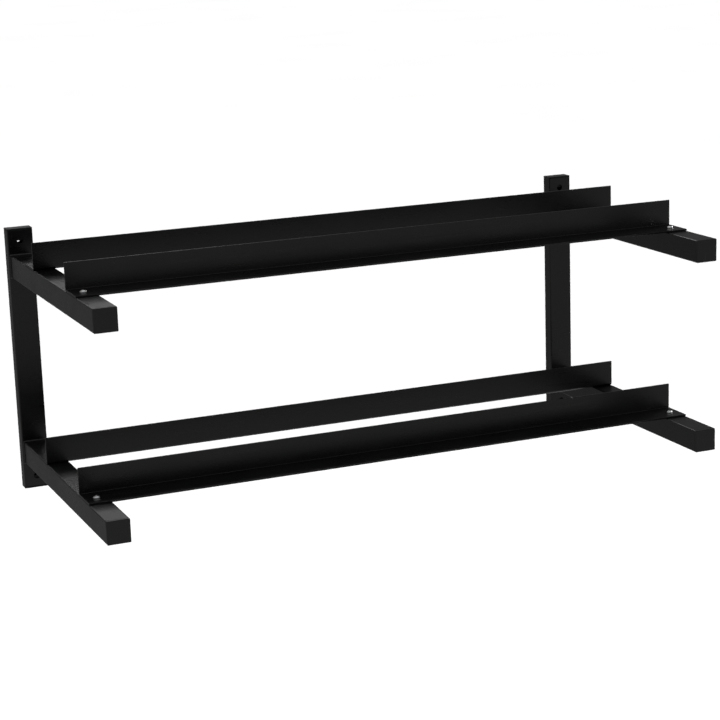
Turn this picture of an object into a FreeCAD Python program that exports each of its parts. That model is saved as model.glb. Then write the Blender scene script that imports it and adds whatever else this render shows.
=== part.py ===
import FreeCAD, Part
import math
import os
import Sketcher

# Two-tier dumbbell rack for a wall, in millimetres.
# +X runs along the rails, -Y points away from the wall and +Z is up.
# The origin is the centre of the four wall holes, in the plane of the uprights' backs.

DRIVING_SIZES = {
    # Uprights: rectangular steel tube, capped at both ends.
    "upright_spacing": 680.0,
    "upright_height": 300.0,
    "upright_width": 29.0,
    "upright_depth": 15.0,
    "upright_wall": 1.5,
    "upright_cap_lip": 2.0,
    "wall_hole_diameter": 6.8,
    "wall_hole_pitch": 272.0,
    # Arms: square steel tube, welded to the uprights' front faces.
    "arm_side": 25.0,
    "arm_wall": 2.0,
    "arm_reach": 350.0,
    "arm_pitch": 215.0,
    "arm_cap_lip": 2.5,
    "tube_corner": 1.2,
    # Plastic caps: a lip outside the tube and a hollow stem that grips inside it.
    "cap_stem_length": 12.0,
    "cap_stem_gap": 0.1,
    "cap_stem_wall": 1.8,
    # Weld beads around each arm's root.
    "weld_leg": 1.8,
    "weld_land": 0.15,
    # Rails: folded steel angle with a standing plate and an outward shelf.
    "rail_thickness": 2.0,
    "rail_plate_height": 30.0,
    "rail_shelf_depth": 39.0,
    "rail_bend": 0.5,
    "rail_plate_gap": 130.0,
    "rail_gap_middle": 185.0,
    "rail_screw_setback": 22.5,
    "rail_hole_diameter": 4.4,
    # Rail screws: button heads with a hexagon socket.
    "screw_diameter": 4.0,
    "screw_length": 12.0,
    "screw_head_diameter": 7.6,
    "screw_head_height": 2.2,
    "screw_head_round": 1.7,
    "screw_socket_flats": 2.5,
    "screw_socket_depth": 1.3,
    # Threaded inserts, set flush into the arms' top walls.
    "insert_diameter": 6.0,
    "insert_length": 10.0,
    "insert_bulge_diameter": 8.4,
    "insert_bulge_height": 2.4,
}
SIDES = {"left": -1, "right": 1}
TIERS = {"lower": -1, "upper": 1}
ROWS = {"rear": -1, "front": 1}
X_AXIS = FreeCAD.Vector(1, 0, 0)
Y_AXIS = FreeCAD.Vector(0, 1, 0)
Z_AXIS = FreeCAD.Vector(0, 0, 1)
# Seen from above, a sketch's second axis is +Y. Seen from the front or the side, it is +Z.
FROM_ABOVE = "XY_Plane"
FROM_FRONT = "XZ_Plane"
FROM_SIDE = "YZ_Plane"
NORMALS = {FROM_ABOVE: Z_AXIS, FROM_FRONT: Y_AXIS, FROM_SIDE: X_AXIS}
HALF_TURN = 180
HEXAGON = 6
# Sines and cosines that should be zero come out as zero at this many decimals.
DECIMALS = 9
WELD_SLOPE = 45.0
TINY = 1e-6


class Size:
    """A length that carries its value and the sheet formula behind it."""

    def __init__(self, value, formula):
        self.value = value
        self.formula = formula

    def __add__(self, other):
        return Size(self.value + other.value, f"({self.formula} + {other.formula})")

    def __sub__(self, other):
        return Size(self.value - other.value, f"({self.formula} - {other.formula})")

    def __mul__(self, factor):
        return Size(self.value * factor, f"({self.formula} * {factor})")

    def __truediv__(self, divisor):
        return Size(self.value / divisor, f"({self.formula} / {divisor})")

    def __neg__(self):
        return Size(-self.value, f"(-{self.formula})")


document = FreeCAD.newDocument("dumbbell_rack")
sheet = document.addObject("Spreadsheet::Sheet", "sizes")
for row, (alias, number) in enumerate(DRIVING_SIZES.items(), start=1):
    sheet.set(f"A{row}", alias)
    sheet.set(f"B{row}", str(number))
    sheet.setAlias(f"B{row}", alias)
document.recompute()
S = {alias: Size(number, f"sizes.{alias}") for alias, number in DRIVING_SIZES.items()}
ZERO = S["arm_side"] * 0

# Both rails of a tier end flush with the outer faces of its arms.
rail_length = S["upright_spacing"] + S["arm_side"]
parts = []


def new_body(label):
    """An empty body that becomes one sub-part."""
    body = document.addObject("PartDesign::Body", label)
    body.Label = label
    parts.append(body)
    return body


def place(body, across=ZERO, forward=ZERO, height=ZERO, turned_about=None):
    """Bind where a body stands: along the rails, away from the wall and up."""
    if turned_about is not None:
        body.Placement = FreeCAD.Placement(FreeCAD.Vector(), FreeCAD.Rotation(turned_about, HALF_TURN))
    body.setExpression("Placement.Base.x", across.formula)
    body.setExpression("Placement.Base.y", (-forward).formula)
    body.setExpression("Placement.Base.z", height.formula)


def new_sketch(body, name, plane):
    """An empty sketch on one of the body's own origin planes."""
    sketch = body.newObject("Sketcher::SketchObject", name)
    support = next(item for item in body.Origin.OriginFeatures if item.Role == plane)
    sketch.AttachmentSupport = (support, "")
    sketch.MapMode = "FlatFace"
    sketch.Visibility = False
    return sketch


def bind(sketch, kind, picks, length):
    """Add a dimension to a sketch and bind it to the sheet."""
    index = sketch.addConstraint(Sketcher.Constraint(kind, *picks, length.value))
    sketch.setExpression(f"Constraints[{index}]", length.formula)


def locate(sketch, geometry, point, across, along):
    """Bind a sketch point's two distances from the sketch's origin."""
    for kind, other_axis, length in (("DistanceX", -2, across), ("DistanceY", -1, along)):
        if abs(length.value) < TINY:
            sketch.addConstraint(Sketcher.Constraint("PointOnObject", geometry, point, other_axis))
        elif length.value < 0:
            bind(sketch, kind, (geometry, point, -1, 1), -length)
        else:
            bind(sketch, kind, (-1, 1, geometry, point), length)


def draw_outline(sketch, corners):
    """A closed outline of straight lines, with every corner bound to the sheet."""
    points = [FreeCAD.Vector(across.value, along.value, 0) for across, along in corners]
    first = sketch.GeometryCount
    for start, end in zip(points, points[1:] + points[:1]):
        sketch.addGeometry(Part.LineSegment(start, end), False)
    for index, (across, along) in enumerate(corners):
        before = first + (index - 1) % len(corners)
        sketch.addConstraint(Sketcher.Constraint("Coincident", before, 2, first + index, 1))
        locate(sketch, first + index, 1, across, along)


def draw_rectangle(sketch, width, height):
    """A rectangle about the sketch's origin."""
    x, y = width / 2, height / 2
    draw_outline(sketch, ((-x, -y), (x, -y), (x, y), (-x, y)))


def draw_circle(sketch, diameter, across=ZERO, along=ZERO):
    """A circle with its centre and diameter bound to the sheet."""
    centre = FreeCAD.Vector(across.value, along.value, 0)
    circle = sketch.addGeometry(Part.Circle(centre, Z_AXIS, diameter.value / 2), False)
    bind(sketch, "Diameter", (circle,), diameter)
    locate(sketch, circle, 3, across, along)


def pad(body, sketch, name, length, backward=False):
    """Add material along the sketch's normal, or backward from it."""
    feature = body.newObject("PartDesign::Pad", name)
    feature.Profile = sketch
    feature.Reversed = backward
    feature.setExpression("Length", length.formula)
    document.recompute()
    return feature


def cut(body, sketch, name, depth=None, forward=False):
    """Remove material behind the sketch, or in front of it: all of it, or to a depth."""
    volume_before = body.Shape.Volume
    feature = body.newObject("PartDesign::Pocket", name)
    feature.Profile = sketch
    feature.Reversed = forward
    if depth is None:
        feature.Type = "ThroughAll"
    else:
        feature.setExpression("Length", depth.formula)
    document.recompute()
    if feature.Shape.Volume > volume_before - TINY:
        raise RuntimeError(f"{body.Label}: {name} removes nothing")
    return feature


def round_edges(body, base, name, is_chosen, radius):
    """Round the chosen edges of a feature, all to one radius."""
    feature = body.newObject("PartDesign::Fillet", name)
    chosen = [f"Edge{index}" for index, edge in enumerate(base.Shape.Edges, start=1) if is_chosen(edge)]
    feature.Base = (base, chosen)
    feature.setExpression("Radius", radius.formula)
    document.recompute()
    return feature


def is_parallel(edge, axis):
    """True for a straight edge that runs along an axis."""
    if edge.Curve.TypeId != "Part::GeomLine":
        return False
    return abs(abs(edge.Curve.Direction.dot(axis)) - 1) < TINY


def passes_through(edge, axis, point):
    """True for an edge along an axis that passes through a point."""
    if not is_parallel(edge, axis):
        return False
    return edge.Curve.projectPoint(point, "NearestPoint").sub(point).Length < TINY


def build_tube(body, plane, width, height, wall, length):
    """A hollow section with rounded outer corners, along the plane's normal."""
    outer = new_sketch(body, "outer_section", plane)
    draw_rectangle(outer, width, height)
    bar = pad(body, outer, "bar", length)
    axis = NORMALS[plane]
    round_edges(body, bar, "corners", lambda edge: is_parallel(edge, axis), S["tube_corner"])
    inner = new_sketch(body, "inner_section", plane)
    draw_rectangle(inner, width - wall * 2, height - wall * 2)
    cut(body, inner, "bore", forward=True)


def make_upright(side):
    """A tube that stands against the wall, with a screw hole through it near each end."""
    body = new_body(f"{side}_upright")
    length = S["upright_height"] - S["upright_cap_lip"] * 2
    build_tube(body, FROM_ABOVE, S["upright_width"], S["upright_depth"], S["upright_wall"], length)
    for end, sign in TIERS.items():
        height = length / 2 + S["wall_hole_pitch"] / 2 * sign
        for wall, is_front in (("front", True), ("back", False)):
            circle = new_sketch(body, f"{end}_{wall}_circle", FROM_FRONT)
            draw_circle(circle, S["wall_hole_diameter"], along=height)
            cut(body, circle, f"{end}_{wall}_hole", forward=is_front)
    place(
        body,
        across=S["upright_spacing"] / 2 * SIDES[side],
        forward=S["upright_depth"] / 2,
        height=-length / 2,
    )


def make_cap(label, plane, width, height, wall, lip):
    """A tube cap: its lip covers the tube's end and its hollow stem goes inside."""
    body = new_body(label)
    lip_sketch = new_sketch(body, "lip_section", plane)
    draw_rectangle(lip_sketch, width, height)
    cover = pad(body, lip_sketch, "lip", lip)
    axis = NORMALS[plane]
    round_edges(body, cover, "lip_corners", lambda edge: is_parallel(edge, axis), S["tube_corner"])
    stem_loss = (wall + S["cap_stem_gap"]) * 2
    stem_sketch = new_sketch(body, "stem_section", plane)
    draw_rectangle(stem_sketch, width - stem_loss, height - stem_loss)
    pad(body, stem_sketch, "stem", S["cap_stem_length"], backward=True)
    hollow_loss = stem_loss + S["cap_stem_wall"] * 2
    hollow_sketch = new_sketch(body, "hollow_section", plane)
    draw_rectangle(hollow_sketch, width - hollow_loss, height - hollow_loss)
    cut(body, hollow_sketch, "hollow", S["cap_stem_length"])
    return body


def make_upright_cap(side, end):
    """The cap in one end of an upright; the low one is the high one turned over."""
    body = make_cap(
        f"{side}_upright_{end}_cap",
        FROM_ABOVE,
        S["upright_width"],
        S["upright_depth"],
        S["upright_wall"],
        S["upright_cap_lip"],
    )
    sign = {"bottom": -1, "top": 1}[end]
    place(
        body,
        across=S["upright_spacing"] / 2 * SIDES[side],
        forward=S["upright_depth"] / 2,
        height=(S["upright_height"] / 2 - S["upright_cap_lip"]) * sign,
        turned_about=X_AXIS if end == "bottom" else None,
    )


def make_arm(tier, side):
    """A square tube that stands out from an upright, with two insert holes in its top wall."""
    body = new_body(f"{tier}_{side}_arm")
    length = S["arm_reach"] - S["arm_cap_lip"] - S["upright_depth"]
    build_tube(body, FROM_FRONT, S["arm_side"], S["arm_side"], S["arm_wall"], length)
    circles = new_sketch(body, "insert_circles", FROM_ABOVE)
    for row in ROWS:
        draw_circle(circles, S["insert_diameter"], along=S["upright_depth"] - screw_distance(row))
    cut(body, circles, "insert_holes", forward=True)
    place(
        body,
        across=S["upright_spacing"] / 2 * SIDES[side],
        forward=S["upright_depth"],
        height=S["arm_pitch"] / 2 * TIERS[tier],
    )


def make_arm_cap(tier, side):
    """The cap in an arm's front end."""
    body = make_cap(
        f"{tier}_{side}_arm_cap",
        FROM_FRONT,
        S["arm_side"],
        S["arm_side"],
        S["arm_wall"],
        S["arm_cap_lip"],
    )
    place(
        body,
        across=S["upright_spacing"] / 2 * SIDES[side],
        forward=S["arm_reach"] - S["arm_cap_lip"],
        height=S["arm_pitch"] / 2 * TIERS[tier],
    )


def make_weld(tier, side):
    """The bead around an arm's root: a sloped frame that the arm fills."""
    body = new_body(f"{tier}_{side}_arm_weld")
    foot = new_sketch(body, "foot_section", FROM_FRONT)
    foot_side = S["arm_side"] + (S["weld_leg"] + S["weld_land"]) * 2
    draw_rectangle(foot, foot_side, foot_side)
    bead = pad(body, foot, "bead", S["weld_leg"])
    bead.TaperAngle = -WELD_SLOPE
    document.recompute()
    arm = new_sketch(body, "arm_section", FROM_FRONT)
    draw_rectangle(arm, S["arm_side"], S["arm_side"])
    cut(body, arm, "arm_space", forward=True)
    place(
        body,
        across=S["upright_spacing"] / 2 * SIDES[side],
        forward=S["upright_depth"],
        height=S["arm_pitch"] / 2 * TIERS[tier],
    )


def plate_distance(row):
    """How far from the wall a rail's standing plate faces the other rail's."""
    return S["rail_gap_middle"] + S["rail_plate_gap"] / 2 * ROWS[row]


def screw_distance(row):
    """How far from the wall a row of rail screws is."""
    return plate_distance(row) + S["rail_screw_setback"] * ROWS[row]


def arm_top(tier):
    """The height of a tier's arm tops."""
    return S["arm_pitch"] / 2 * TIERS[tier] + S["arm_side"] / 2


def make_rail(tier, row):
    """A folded angle: its plate faces the other rail and its shelf points away from it."""
    body = new_body(f"{tier}_{row}_rail")
    thickness, depth, height = S["rail_thickness"], S["rail_shelf_depth"], S["rail_plate_height"]
    section = new_sketch(body, "angle_section", FROM_SIDE)
    draw_outline(
        section,
        (
            (ZERO, ZERO),
            (ZERO, height),
            (-thickness, height),
            (-thickness, thickness),
            (-depth, thickness),
            (-depth, ZERO),
        ),
    )
    angle = pad(body, section, "angle", rail_length)
    inside = FreeCAD.Vector(0, -thickness.value, thickness.value)
    inner = round_edges(
        body, angle, "inner_bend", lambda edge: passes_through(edge, X_AXIS, inside), S["rail_bend"]
    )
    heel = FreeCAD.Vector()
    round_edges(
        body,
        inner,
        "outer_bend",
        lambda edge: passes_through(edge, X_AXIS, heel),
        S["rail_bend"] + S["rail_thickness"],
    )
    circles = new_sketch(body, "screw_circles", FROM_ABOVE)
    for sign in SIDES.values():
        across = rail_length / 2 + S["upright_spacing"] / 2 * sign
        draw_circle(circles, S["rail_hole_diameter"], across=across, along=-S["rail_screw_setback"])
    cut(body, circles, "screw_holes", forward=True)
    place(
        body,
        across=rail_length / 2 * -ROWS[row],
        forward=plate_distance(row),
        height=arm_top(tier),
        turned_about=Z_AXIS if row == "rear" else None,
    )


def raised_sketch(body, name, height):
    """An empty sketch seen from above, at a height over the body's origin."""
    sketch = new_sketch(body, name, FROM_ABOVE)
    sketch.setExpression("AttachmentOffset.Base.z", height.formula)
    return sketch


def draw_circle_pair(sketch, diameter):
    """One circle over each arm."""
    for sign in SIDES.values():
        draw_circle(sketch, diameter, across=S["upright_spacing"] / 2 * sign)


def draw_hexagon_pair(sketch, flats):
    """One hexagon over each arm, by its width across flats."""
    turn = 2 * math.pi / HEXAGON
    corner_radius = flats / math.sqrt(3)
    for sign in SIDES.values():
        centre = S["upright_spacing"] / 2 * sign
        corners = []
        for step in range(HEXAGON):
            across = centre + corner_radius * round(math.cos(step * turn), DECIMALS)
            along = corner_radius * round(math.sin(step * turn), DECIMALS)
            corners.append((across, along))
        draw_outline(sketch, corners)


def make_screws(tier, row):
    """The two button-head screws that hold a rail, one over each arm."""
    body = new_body(f"{tier}_{row}_rail_screws")
    body.AllowCompound = True
    head_circles = new_sketch(body, "head_circles", FROM_ABOVE)
    draw_circle_pair(head_circles, S["screw_head_diameter"])
    heads = pad(body, head_circles, "heads", S["screw_head_height"])
    top = S["screw_head_height"].value
    round_edges(body, heads, "crowns", lambda edge: edge.BoundBox.ZMin > top - TINY, S["screw_head_round"])
    shank_circles = new_sketch(body, "shank_circles", FROM_ABOVE)
    draw_circle_pair(shank_circles, S["screw_diameter"])
    pad(body, shank_circles, "shanks", S["screw_length"], backward=True)
    socket_outlines = raised_sketch(body, "socket_outlines", S["screw_head_height"])
    draw_hexagon_pair(socket_outlines, S["screw_socket_flats"])
    cut(body, socket_outlines, "sockets", S["screw_socket_depth"])
    place(body, forward=screw_distance(row), height=arm_top(tier) + S["rail_thickness"])


def make_inserts(tier, row):
    """The two threaded inserts under a rail, each swollen below the arm's top wall."""
    body = new_body(f"{tier}_{row}_rail_inserts")
    body.AllowCompound = True
    sleeve_circles = new_sketch(body, "sleeve_circles", FROM_ABOVE)
    draw_circle_pair(sleeve_circles, S["insert_diameter"])
    pad(body, sleeve_circles, "sleeves", S["insert_length"], backward=True)
    bulge_circles = raised_sketch(body, "bulge_circles", -S["arm_wall"])
    draw_circle_pair(bulge_circles, S["insert_bulge_diameter"])
    pad(body, bulge_circles, "bulges", S["insert_bulge_height"], backward=True)
    bore_circles = new_sketch(body, "bore_circles", FROM_ABOVE)
    draw_circle_pair(bore_circles, S["screw_diameter"])
    cut(body, bore_circles, "bores")
    place(body, forward=screw_distance(row), height=arm_top(tier))


def check_and_write():
    """Stop on any failed object, then write each sub-part's own file."""
    document.recompute()
    for item in document.Objects:
        if {"Invalid", "Error"} & set(item.State):
            raise RuntimeError(f"{item.Label} is {item.State}")
    for body in parts:
        if body.Shape.isNull() or not body.Shape.isValid():
            raise RuntimeError(f"{body.Label} has no valid shape")
    os.makedirs("parts", exist_ok=True)
    for body in parts:
        body.Shape.exportStep(os.path.join("parts", f"{body.Label}.step"))
        print(body.Label, len(body.Shape.Solids), round(body.Shape.Volume))


for side in SIDES:
    make_upright(side)
    for end in ("bottom", "top"):
        make_upright_cap(side, end)
for tier in TIERS:
    for side in SIDES:
        make_arm(tier, side)
        make_arm_cap(tier, side)
        make_weld(tier, side)
    for row in ROWS:
        make_rail(tier, row)
        make_screws(tier, row)
        make_inserts(tier, row)
check_and_write()
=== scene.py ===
"""Looks, light and camera for a wall-mounted two-tier dumbbell rack.

Lengths are in metres and angles in degrees, unless a comment says otherwise. Colours are linear,
and texture scales are in features per metre.
"""

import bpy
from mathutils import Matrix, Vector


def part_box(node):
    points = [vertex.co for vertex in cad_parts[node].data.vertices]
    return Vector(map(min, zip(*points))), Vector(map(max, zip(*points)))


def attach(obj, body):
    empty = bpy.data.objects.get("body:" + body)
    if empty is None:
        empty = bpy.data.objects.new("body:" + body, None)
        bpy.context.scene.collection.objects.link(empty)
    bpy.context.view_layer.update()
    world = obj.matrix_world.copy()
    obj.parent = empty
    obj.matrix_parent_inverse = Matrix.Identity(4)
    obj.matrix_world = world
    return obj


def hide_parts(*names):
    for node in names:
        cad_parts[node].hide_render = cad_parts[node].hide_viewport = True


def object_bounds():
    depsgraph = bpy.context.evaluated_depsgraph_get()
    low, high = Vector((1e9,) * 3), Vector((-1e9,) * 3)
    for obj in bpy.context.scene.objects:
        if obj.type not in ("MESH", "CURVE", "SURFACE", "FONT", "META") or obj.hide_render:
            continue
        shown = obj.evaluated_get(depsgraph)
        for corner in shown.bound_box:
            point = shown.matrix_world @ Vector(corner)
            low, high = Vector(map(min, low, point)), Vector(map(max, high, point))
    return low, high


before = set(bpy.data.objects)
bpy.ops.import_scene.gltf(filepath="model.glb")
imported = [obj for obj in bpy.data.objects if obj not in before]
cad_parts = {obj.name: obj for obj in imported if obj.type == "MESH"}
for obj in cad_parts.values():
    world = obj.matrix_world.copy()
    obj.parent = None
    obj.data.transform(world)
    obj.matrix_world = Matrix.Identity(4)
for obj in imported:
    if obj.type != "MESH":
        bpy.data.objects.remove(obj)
cad_box = [list(corner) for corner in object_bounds()]

import math
import random

import bmesh
import bpy
from mathutils import Matrix, Vector

scene = bpy.context.scene

TIERS = ("lower", "upper")
SIDES = ("left", "right")
ROWS = ("rear", "front")
ENDS = ("bottom", "top")
MM = 0.001

# How far each kind of CAD node has its sharp edges rounded.
UPRIGHT_EDGE = 0.35 * MM
UPRIGHT_CAP_EDGE = 0.5 * MM
ARM_EDGE = 0.3 * MM
ARM_CAP_EDGE = 0.6 * MM
RAIL_EDGE = 0.25 * MM
SCREW_EDGE = 0.12 * MM
INSERT_EDGE = 0.1 * MM

# The modifiers that round them: points nearer than the gap are one point, faces that meet within
# the flat angle are one face, and edges past the sharp angle are rounded.
WELD_GAP = 0.002 * MM
FLAT_ANGLE = 0.4
SHARP_ANGLE = 38.0

# Colours. A pair is the darkest and lightest of a mottled finish.
COAT_TONES = ((0.0030, 0.0030, 0.0032), (0.0052, 0.0052, 0.0055))
COAT_EDGE_TONES = ((0.0050, 0.0050, 0.0052), (0.0090, 0.0090, 0.0093))
COAT_GRAIN = (0.012, 0.012, 0.0125)
COAT_WEAR = (0.050, 0.050, 0.052)
DUST = (0.075, 0.072, 0.068)
PLASTIC_TONES = ((0.0040, 0.0040, 0.0042), (0.0070, 0.0070, 0.0073))
PLASTIC_SCUFF = (0.060, 0.060, 0.060)
ZINC_TONES = ((0.84, 0.86, 0.88), (0.96, 0.95, 0.92))
ZINC_STAIN = (0.30, 0.30, 0.29)
PLATING_TONES = ((0.40, 0.39, 0.35), (0.60, 0.57, 0.48))
FLOOR_TONES = ((0.90, 0.90, 0.90), (0.93, 0.93, 0.93))

# Gloss: a coat's or plastic's mean roughness, and its specular level.
COAT_ROUGHNESS, COAT_SPECULAR = 0.30, 0.42
COAT_EDGE_ROUGHNESS, COAT_EDGE_SPECULAR = 0.42, 0.25
ARM_CAP_ROUGHNESS, UPRIGHT_CAP_ROUGHNESS, PLASTIC_SPECULAR = 0.36, 0.68, 0.42
FLOOR_ROUGHNESS, FLOOR_SPECULAR = 0.85, 0.2

# How much of the colour dust and scuffs hide, and how much each mark adds to or takes from the roughness.
DUST_COVER, DUST_DULLING = 0.5, 0.2
SCUFF_COVER, SCUFF_DULLING = 0.45, 0.12
STAIN_DULLING = 0.25
RUB_POLISH = 0.07

# Turning marks on the screw heads.
RING_PITCH = 0.22 * MM
RING_WOBBLE = 0.12 * MM

# The weld beads. The leg is the furthest that a bead reaches from the tube's face.
TUBE_CORNER = 1.2 * MM
BEAD_CLEARANCE = 0.05 * MM  # from the leg's end to the edge of the CAD's plain frame
BEAD_ROOT = 0.3 * MM  # how far the hidden corner lies inside the tube's face
BEAD_STEPS = 720  # sections round the tube
BEAD_SIDES = 8  # faces across the bead
RIPPLE_PITCH = 1.25 * MM
RIPPLE_BOW = 0.55  # how far a ripple trails at the middle of the bead, in ripples
RIPPLE_SHARPNESS = 0.6  # the power that shapes each ripple's rise

# A bead's size in shares of its leg: the base, and what a ripple, its own chance and slow waves add.
BEAD_BASE = 0.80
BEAD_RIPPLE = 0.13
BEAD_UNEVEN = 0.02
BEAD_WANDER = 0.03
BEAD_WAVES = 3  # slow waves round the tube
BEAD_JITTER = 0.02  # how much chance moves each section along them, in radians
BEAD_BULGE = 0.22  # how far the bead swells at its middle, as a share of its size

# The stage, light and camera. The lens and its sensor are in millimetres.
FLOOR_DROP = 1.2
FLOOR_SIDE = 300.0
RACK_MIDDLE = (0.0, -0.1, 0.0)
CAMERA_LENS = 101.1
CAMERA_SENSOR = 36.0
CAMERA_PLACE = (-0.8508, -2.2110, 0.5115)
CAMERA_TURN, CAMERA_DOWN, CAMERA_ROLL = -22.63, 13.28, -1.90


# ---------------------------------------------------------------- node trees

class Graph:
    """A material's or a world's node tree, with short calls for the nodes used here."""

    def __init__(self, owner, coordinates):
        owner.use_nodes = True
        self.owner = owner
        self.tree = owner.node_tree
        self.tree.nodes.clear()
        self.place = self.add("ShaderNodeTexCoord").outputs[coordinates]

    def add(self, kind, **settings):
        node = self.tree.nodes.new(kind)
        for name, value in settings.items():
            setattr(node, name, value)
        return node

    def link(self, source, target):
        self.tree.links.new(source, target)

    def feed(self, socket, value):
        """Links a socket, or sets it where the value is a plain one."""
        if isinstance(value, bpy.types.NodeSocket):
            self.link(value, socket)
        else:
            socket.default_value = value

    def axes(self):
        """The coordinates' X, Y and Z."""
        node = self.add("ShaderNodeSeparateXYZ")
        self.link(self.place, node.inputs["Vector"])
        return node.outputs["X"], node.outputs["Y"], node.outputs["Z"]

    def scaled(self, x, y, z, turn=(0.0, 0.0, 0.0)):
        """The coordinates stretched along each axis, and then turned by angles in radians."""
        node = self.add("ShaderNodeMapping")
        self.link(self.place, node.inputs["Vector"])
        node.inputs["Scale"].default_value = (x, y, z)
        node.inputs["Rotation"].default_value = turn
        return node.outputs["Vector"]

    def noise(self, scale, detail=2.0, roughness=0.5, at=None):
        node = self.add("ShaderNodeTexNoise")
        self.link(self.place if at is None else at, node.inputs["Vector"])
        node.inputs["Scale"].default_value = scale
        node.inputs["Detail"].default_value = detail
        node.inputs["Roughness"].default_value = roughness
        return node.outputs["Fac"]

    def cells(self, scale):
        """The distance to the nearest of many scattered points."""
        node = self.add("ShaderNodeTexVoronoi")
        self.link(self.place, node.inputs["Vector"])
        node.inputs["Scale"].default_value = scale
        return node.outputs["Distance"]

    def spread(self, value, low, high, to=(0.0, 1.0), interpolation="SMOOTHSTEP"):
        """The value's range from low to high, mapped to another range."""
        node = self.add("ShaderNodeMapRange", interpolation_type=interpolation)
        self.link(value, node.inputs["Value"])
        for name, number in (("From Min", low), ("From Max", high), ("To Min", to[0]), ("To Max", to[1])):
            node.inputs[name].default_value = number
        return node.outputs["Result"]

    def maths(self, operation, first, second=0.0):
        node = self.add("ShaderNodeMath", operation=operation)
        self.feed(node.inputs[0], first)
        self.feed(node.inputs[1], second)
        return node.outputs["Value"]

    def plus(self, first, second):
        return self.maths("ADD", first, second)

    def times(self, first, second):
        return self.maths("MULTIPLY", first, second)

    def blend(self, share, first, second):
        """A colour between two others. The node's own colours are inputs 6 and 7 and output 2."""
        node = self.add("ShaderNodeMix", data_type="RGBA")
        self.feed(node.inputs["Factor"], share)
        for socket, value in ((node.inputs[6], first), (node.inputs[7], second)):
            self.feed(socket, (*value, 1.0) if isinstance(value, tuple) else value)
        return node.outputs[2]

    def bump(self, height, distance, strength, under=None):
        """A normal from a height, on top of the normal under it."""
        node = self.add("ShaderNodeBump")
        self.link(height, node.inputs["Height"])
        node.inputs["Distance"].default_value = distance
        node.inputs["Strength"].default_value = strength
        if under is not None:
            self.link(under, node.inputs["Normal"])
        return node.outputs["Normal"]


class Finish(Graph):
    """A material with one Principled shader, in its object's own coordinates."""

    def __init__(self, name):
        super().__init__(bpy.data.materials.new(name), "Object")
        self.shader = self.add("ShaderNodeBsdfPrincipled")
        output = self.add("ShaderNodeOutputMaterial")
        self.link(self.shader.outputs["BSDF"], output.inputs["Surface"])

    def made(self, **sockets):
        """The material, with its shader's sockets fed. A socket's name has _ for each space."""
        for name, value in sockets.items():
            self.feed(self.shader.inputs[name.replace("_", " ")], value)
        return self.owner


# ---------------------------------------------------------------- materials

def powder_coat(name, tones, mean_roughness, specular, worn=False):
    """Satin black powder coat: fine orange peel, slow mottling, dust, and a few handling rubs.

    A worn coat is also paler in patches, as along a rubbed edge.
    """
    g = Finish(name)
    mottle = g.noise(scale=11.0, detail=5.0, roughness=0.62)
    grain = g.spread(g.noise(scale=1500.0), low=0.58, high=0.80, to=(0.0, 0.35))
    specks = g.spread(g.cells(scale=420.0), low=0.05, high=0.11, to=(1.0, 0.0))
    dust = g.times(specks, g.spread(g.noise(scale=23.0), low=0.52, high=0.70))
    streaks = g.noise(scale=1.0, detail=6.0, roughness=0.7, at=g.scaled(9.0, 60.0, 170.0))
    rubs = g.spread(streaks, low=0.50, high=0.74)

    tone = g.blend(g.spread(mottle, low=0.32, high=0.70), *tones)
    tone = g.blend(grain, tone, COAT_GRAIN)
    tone = g.blend(g.times(dust, DUST_COVER), tone, DUST)
    if worn:
        wear = g.spread(g.noise(scale=140.0, detail=4.0), low=0.46, high=0.66, to=(0.0, 0.7))
        tone = g.blend(wear, tone, COAT_WEAR)

    uneven = (mean_roughness - 0.04, mean_roughness + 0.06)
    roughness = g.spread(mottle, low=0.25, high=0.75, to=uneven)
    roughness = g.maths("SUBTRACT", roughness, g.times(rubs, RUB_POLISH))
    roughness = g.plus(roughness, g.times(dust, DUST_DULLING))

    skin = g.bump(g.noise(scale=2300.0), distance=0.012 * MM, strength=0.5)
    orange_peel = g.noise(scale=620.0, detail=1.0, roughness=0.4)
    normal = g.bump(orange_peel, distance=0.09 * MM, strength=0.7, under=skin)
    return g.made(Base_Color=tone, Roughness=roughness, Normal=normal, Specular_IOR_Level=specular)


def moulded_plastic(name, mean_roughness):
    """Black polyethylene with a fine spark-eroded texture and light scuffs."""
    g = Finish(name)
    mottle = g.noise(scale=38.0, detail=4.0, roughness=0.6)
    scratched = g.scaled(900.0, 900.0, 70.0, turn=(0.5, 0.35, 0.2))
    scratches = g.noise(scale=1.0, detail=5.0, roughness=0.65, at=scratched)
    patches = g.spread(g.noise(scale=60.0), low=0.45, high=0.62)
    scuffs = g.times(g.spread(scratches, low=0.60, high=0.72), patches)

    tone = g.blend(g.spread(mottle, low=0.3, high=0.7), *PLASTIC_TONES)
    tone = g.blend(g.times(scuffs, SCUFF_COVER), tone, PLASTIC_SCUFF)

    uneven = (mean_roughness - 0.05, mean_roughness + 0.05)
    roughness = g.spread(mottle, low=0.25, high=0.75, to=uneven)
    roughness = g.plus(roughness, g.times(scuffs, SCUFF_DULLING))

    fine = g.bump(g.noise(scale=3600.0), distance=0.015 * MM, strength=0.5)
    normal = g.bump(g.cells(scale=1700.0), distance=0.04 * MM, strength=0.6, under=fine)
    return g.made(
        Base_Color=tone, Roughness=roughness, Normal=normal, Specular_IOR_Level=PLASTIC_SPECULAR)


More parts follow.
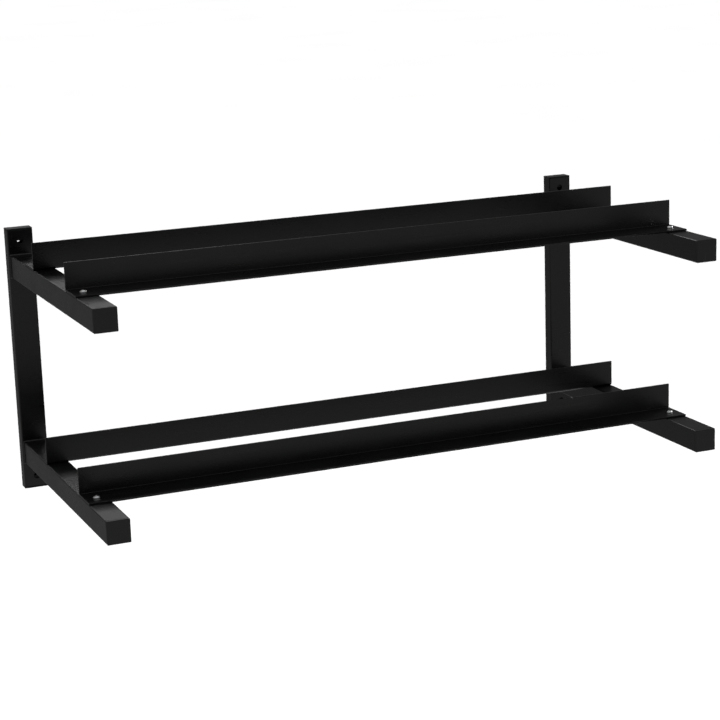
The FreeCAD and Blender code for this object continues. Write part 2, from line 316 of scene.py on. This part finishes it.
def turned_zinc(name, screw_x, row_middle, row_spread):
    """Bright zinc on turned screw heads: rings about each screw's axis, and a faint passivation tint.

    The screws stand at plus and minus screw_x, and row_spread before and behind row_middle.
    """
    g = Finish(name)
    x, y, _ = g.axes()
    across = g.maths("SUBTRACT", g.maths("ABSOLUTE", x), screw_x)
    from_middle = g.maths("ABSOLUTE", g.maths("SUBTRACT", y, row_middle))
    along = g.maths("SUBTRACT", from_middle, row_spread)
    radius = g.maths("SQRT", g.plus(g.times(across, across), g.times(along, along)))
    wobble = g.times(g.noise(scale=900.0, detail=3.0), RING_WOBBLE)
    rings = g.maths("SINE", g.times(g.plus(radius, wobble), math.tau / RING_PITCH))

    tint = g.noise(scale=260.0, detail=3.0, roughness=0.6)
    stains = g.spread(g.noise(scale=700.0, detail=4.0), low=0.60, high=0.76, to=(0.0, 0.55))
    tone = g.blend(g.spread(tint, low=0.35, high=0.68), *ZINC_TONES)
    tone = g.blend(stains, tone, ZINC_STAIN)
    roughness = g.spread(tint, low=0.3, high=0.7, to=(0.16, 0.26))
    roughness = g.plus(roughness, g.times(stains, STAIN_DULLING))

    drawn = g.noise(scale=1.0, detail=3.0, at=g.scaled(5200.0, 900.0, 900.0, turn=(0.0, 0.0, 0.6)))
    scratches = g.bump(drawn, distance=0.006 * MM, strength=0.5)
    normal = g.bump(rings, distance=0.004 * MM, strength=0.6, under=scratches)
    return g.made(Base_Color=tone, Roughness=roughness, Normal=normal, Metallic=1.0)


def dull_plating(name):
    """Dull zinc on the threaded inserts, blotched, with drawing lines along each barrel."""
    g = Finish(name)
    blotch = g.noise(scale=330.0, detail=4.0, roughness=0.65)
    tone = g.blend(g.spread(blotch, low=0.32, high=0.70), *PLATING_TONES)
    roughness = g.spread(blotch, low=0.28, high=0.72, to=(0.36, 0.52))
    drawn = g.noise(scale=1.0, detail=3.0, at=g.scaled(4200.0, 4200.0, 240.0))
    normal = g.bump(drawn, distance=0.01 * MM, strength=0.6)
    return g.made(Base_Color=tone, Roughness=roughness, Normal=normal, Metallic=1.0)


def floor_paint(name):
    """Pale matt floor paint, faintly cloudy and rolled."""
    g = Finish(name)
    tone = g.blend(g.spread(g.noise(scale=0.8, detail=5.0), low=0.3, high=0.7), *FLOOR_TONES)
    normal = g.bump(g.noise(scale=240.0, detail=3.0), distance=0.2 * MM, strength=0.3)
    return g.made(
        Base_Color=tone, Roughness=FLOOR_ROUGHNESS, Normal=normal, Specular_IOR_Level=FLOOR_SPECULAR)


# ---------------------------------------------------------------- carried-over CAD nodes

def dress(node_name, edge_width, *materials, segments=3):
    """Gives a CAD node its finish, and rounds its sharp edges with modifiers, inside its own box.

    The first material goes on the faces, and the last one on the rounded edges.
    """
    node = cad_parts[node_name]
    node.data.materials.clear()
    for material in materials:
        node.data.materials.append(material)
    weld = node.modifiers.new("weld", "WELD")
    weld.merge_threshold = WELD_GAP
    merge = node.modifiers.new("merge", "DECIMATE")
    merge.decimate_type = "DISSOLVE"
    merge.angle_limit = math.radians(FLAT_ANGLE)
    bevel = node.modifiers.new("bevel", "BEVEL")
    bevel.width = edge_width
    bevel.segments = segments
    bevel.limit_method = "ANGLE"
    bevel.angle_limit = math.radians(SHARP_ANGLE)
    bevel.use_clamp_overlap = False
    bevel.miter_outer = "MITER_ARC"
    bevel.material = len(materials) - 1
    normals = node.modifiers.new("normals", "WEIGHTED_NORMAL")
    normals.weight = 100
    normals.keep_sharp = False


# ---------------------------------------------------------------- weld beads

def rounded_square(half, corner, steps):
    """Evenly spaced places round a square tube's section, and the length round it.

    Each place is a point, its outward direction, and how far round it lies.
    """
    straight = 2 * (half - corner)
    arc = math.pi / 2 * corner
    length = 4 * (straight + arc)
    places = []
    for i in range(steps):
        travelled = length * i / steps
        quarter, rest = divmod(travelled, straight + arc)
        turn = Matrix.Rotation(math.pi / 2 * quarter, 2)
        if rest < straight:
            point = Vector((half, rest - straight / 2))
            out = Vector((1.0, 0.0))
        else:
            angle = (rest - straight) / corner
            out = Vector((math.cos(angle), math.sin(angle)))
            point = Vector((half - corner, straight / 2)) + out * corner
        places.append((turn @ point, turn @ out, travelled))
    return places, length


def bead_profile(leg, turns, wander, swings):
    """The bead's reach out along the upright and forward along the arm, from edge to edge.

    turns counts the ripples up to this section, and swings has each ripple's own size.
    """
    count = len(swings)
    for i in range(BEAD_SIDES + 1):
        t = i / BEAD_SIDES
        bow = RIPPLE_BOW * (1 - (2 * t - 1) ** 2)
        ripple = (turns - bow) % count
        swing = swings[int(ripple) % count]
        scallop = (ripple % 1.0) ** RIPPLE_SHARPNESS
        size = min(leg * (BEAD_BASE + BEAD_RIPPLE * scallop + swing + wander), leg)
        bulge = 1 + BEAD_BULGE * math.sin(math.pi * t)
        yield min(size * (1 - t) * bulge, leg), min(size * t * bulge, leg)


def weld_bead(tier, side, material):
    """A rippled fillet weld round the root of one arm, in place of the CAD's plain frame."""
    node = f"{tier}_{side}_arm_weld"
    low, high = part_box(node)
    arm_low, arm_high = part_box(f"{tier}_{side}_arm")
    centre = (arm_low + arm_high) / 2
    half = (arm_high.x - arm_low.x) / 2
    leg = min(arm_low.x - low.x, high.y - low.y) - BEAD_CLEARANCE
    dice = random.Random(node)
    section, length = rounded_square(half, TUBE_CORNER, BEAD_STEPS)
    count = round(length / RIPPLE_PITCH)
    swings = [dice.uniform(-BEAD_UNEVEN, BEAD_UNEVEN) for _ in range(count)]

    builder = bmesh.new()
    rings = []
    for point, out, travelled in section:
        share = travelled / length
        wave = math.tau * BEAD_WAVES * share + dice.random() * BEAD_JITTER
        profile = bead_profile(leg, share * count, BEAD_WANDER * math.sin(wave), swings)
        ring = []
        for outward, forward in (*profile, (-BEAD_ROOT, 0.0)):
            flat = point + out * outward
            ring.append(builder.verts.new((centre.x + flat.x, high.y - forward, centre.z + flat.y)))
        rings.append(ring)
    for a, b in zip(rings, rings[1:] + rings[:1]):
        for i in range(len(a)):
            j = (i + 1) % len(a)
            face = builder.faces.new((a[i], b[i], b[j], a[j]))
            face.smooth = i < BEAD_SIDES  # the two hidden faces against the tubes stay flat
    bmesh.ops.recalc_face_normals(builder, faces=builder.faces)
    mesh = bpy.data.meshes.new(f"{node}_bead")
    builder.to_mesh(mesh)
    builder.free()
    mesh.materials.append(material)
    bead = bpy.data.objects.new(f"{node}_bead", mesh)
    scene.collection.objects.link(bead)
    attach(bead, "root")
    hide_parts(node)


# ---------------------------------------------------------------- build

def screw_finish():
    """The screws' zinc, with its rings about the four places where each tier has a screw."""
    rear_low, rear_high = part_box("upper_rear_rail_screws")
    front_low, front_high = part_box("upper_front_rail_screws")
    head_radius = (rear_high.y - rear_low.y) / 2
    rear_y = (rear_low.y + rear_high.y) / 2
    front_y = (front_low.y + front_high.y) / 2
    return turned_zinc(
        "bright_zinc_turned", screw_x=rear_high.x - head_radius,
        row_middle=(rear_y + front_y) / 2, row_spread=(rear_y - front_y) / 2)


coat = powder_coat("black_powder_coat", COAT_TONES, COAT_ROUGHNESS, COAT_SPECULAR)
coat_edge = powder_coat(
    "black_powder_coat_edges", COAT_EDGE_TONES, COAT_EDGE_ROUGHNESS, COAT_EDGE_SPECULAR, worn=True)
arm_plastic = moulded_plastic("black_moulded_plastic", ARM_CAP_ROUGHNESS)
upright_plastic = moulded_plastic("black_moulded_plastic_matt", UPRIGHT_CAP_ROUGHNESS)
zinc = screw_finish()
plating = dull_plating("dull_zinc_plating")

for side in SIDES:
    dress(f"{side}_upright", UPRIGHT_EDGE, coat, coat_edge)
    for end in ENDS:
        dress(f"{side}_upright_{end}_cap", UPRIGHT_CAP_EDGE, upright_plastic)

for tier in TIERS:
    for side in SIDES:
        dress(f"{tier}_{side}_arm", ARM_EDGE, coat, coat_edge)
        dress(f"{tier}_{side}_arm_cap", ARM_CAP_EDGE, arm_plastic)
        weld_bead(tier, side, coat)
    for row in ROWS:
        dress(f"{tier}_{row}_rail", RAIL_EDGE, coat, coat_edge)
        dress(f"{tier}_{row}_rail_screws", SCREW_EDGE, zinc, segments=2)
        dress(f"{tier}_{row}_rail_inserts", INSERT_EDGE, plating, segments=2)


# ---------------------------------------------------------------- stage and light

def make_floor():
    """A pale floor at the distance below the rack that a wall mounting leaves."""
    height = cad_box[0][2] - FLOOR_DROP
    half = FLOOR_SIDE / 2
    corners = [(x * half, y * half, height) for x, y in ((-1, -1), (1, -1), (1, 1), (-1, 1))]
    mesh = bpy.data.meshes.new("floor")
    mesh.from_pydata(corners, [], [(0, 1, 2, 3)])
    mesh.materials.append(floor_paint("pale_floor"))
    floor = bpy.data.objects.new("floor", mesh)
    scene.collection.objects.link(floor)
    floor.visible_glossy = False
    floor.visible_diffuse = False
    return floor


def add_lamp(lamp, place, target):
    """Hangs a lamp at a place, pointing at a target."""
    holder = bpy.data.objects.new(lamp.name, lamp)
    holder.location = place
    direction = Vector(target) - holder.location
    holder.rotation_euler = direction.to_track_quat("-Z", "Y").to_euler()
    scene.collection.objects.link(holder)
    return holder


def add_softbox(name, place, width, height, power):
    """A large soft light on the rack, which the camera doesn't see."""
    lamp = bpy.data.lights.new(name, "AREA")
    lamp.shape = "RECTANGLE"
    lamp.size = width
    lamp.size_y = height
    lamp.energy = power
    add_lamp(lamp, place, RACK_MIDDLE).visible_camera = False


def add_overhead(name, place, strength, spread, floor):
    """One broad lamp for the floor alone, on which the rack throws its shadow."""
    lamp = bpy.data.lights.new(name, "SUN")
    lamp.energy = strength
    lamp.angle = math.radians(spread)
    sun = add_lamp(lamp, place, (0.0, 0.0, 0.0))
    lit = bpy.data.collections.new(f"{name}_lights")
    lit.objects.link(floor)
    sun.light_linking.receiver_collection = lit


def studio_air(front, back, above, below, rear_right, seen):
    """Soft light from all round: brighter in front and low down, dimmer above the horizon, bright overhead.

    rear_right is a patch low down behind the rack, to its right, and seen is what the camera sees.
    """
    world = bpy.data.worlds.new("studio")
    scene.world = world
    g = Graph(world, "Generated")
    x, y, z = g.axes()

    def ramp(value, low, high, strength=1.0):
        return g.spread(value, low, high, to=(0.0, strength), interpolation="LINEAR")

    ahead = g.maths("SQRT", ramp(y, low=1.0, high=-1.0))
    fade = g.spread(z, low=0.10, high=0.22, to=(1.0, 0.20), interpolation="LINEAR")
    depth = g.plus(g.times(g.times(ahead, fade), front - back), back)
    overhead = ramp(z, low=0.60, high=0.98, strength=above)
    bounce = ramp(z, low=-0.30, high=-0.55, strength=below)
    to_right = ramp(x, low=-0.14, high=0.06, strength=rear_right)
    low_down = ramp(z, low=0.02, high=-0.18)
    behind = ramp(y, low=0.25, high=0.75)
    patch = g.times(to_right, g.times(low_down, behind))

    lit = g.add("ShaderNodeBackground")
    g.link(g.plus(g.plus(depth, g.plus(overhead, bounce)), patch), lit.inputs["Strength"])
    plain = g.add("ShaderNodeBackground")
    plain.inputs["Color"].default_value = (seen, seen, seen, 1.0)
    choice = g.add("ShaderNodeMixShader")
    g.link(g.add("ShaderNodeLightPath").outputs["Is Camera Ray"], choice.inputs["Fac"])
    g.link(lit.outputs["Background"], choice.inputs[1])
    g.link(plain.outputs["Background"], choice.inputs[2])
    g.link(choice.outputs["Shader"], g.add("ShaderNodeOutputWorld").inputs["Surface"])


studio_air(front=0.50, back=0.09, above=0.75, below=0.40, rear_right=0.40, seen=1.0)
add_overhead("overhead", place=(-0.4, 0.3, 2.0), strength=2.6, spread=50.0, floor=make_floor())
add_softbox("key", place=(-0.25, 2.5, 1.75), width=2.4, height=1.0, power=20.0)
add_softbox("right_rear", place=(3.2, 1.2, 0.9), width=1.6, height=1.6, power=40.0)


# ---------------------------------------------------------------- camera

def add_camera():
    """A camera at the photograph's viewpoint: turned from +Y, tilted down and rolled."""
    camera = bpy.data.objects.new("camera", bpy.data.cameras.new("camera"))
    camera.data.lens = CAMERA_LENS
    camera.data.sensor_width = CAMERA_SENSOR
    camera.location = CAMERA_PLACE
    camera.rotation_mode = "QUATERNION"
    camera.rotation_quaternion = (
        Matrix.Rotation(math.radians(CAMERA_TURN), 3, "Z")
        @ Matrix.Rotation(math.radians(90.0 - CAMERA_DOWN), 3, "X")
        @ Matrix.Rotation(math.radians(CAMERA_ROLL), 3, "Z")
    ).to_quaternion()
    scene.collection.objects.link(camera)
    return camera


scene.camera = add_camera()
scene.view_settings.view_transform = "Standard"
scene.view_settings.look = "None"
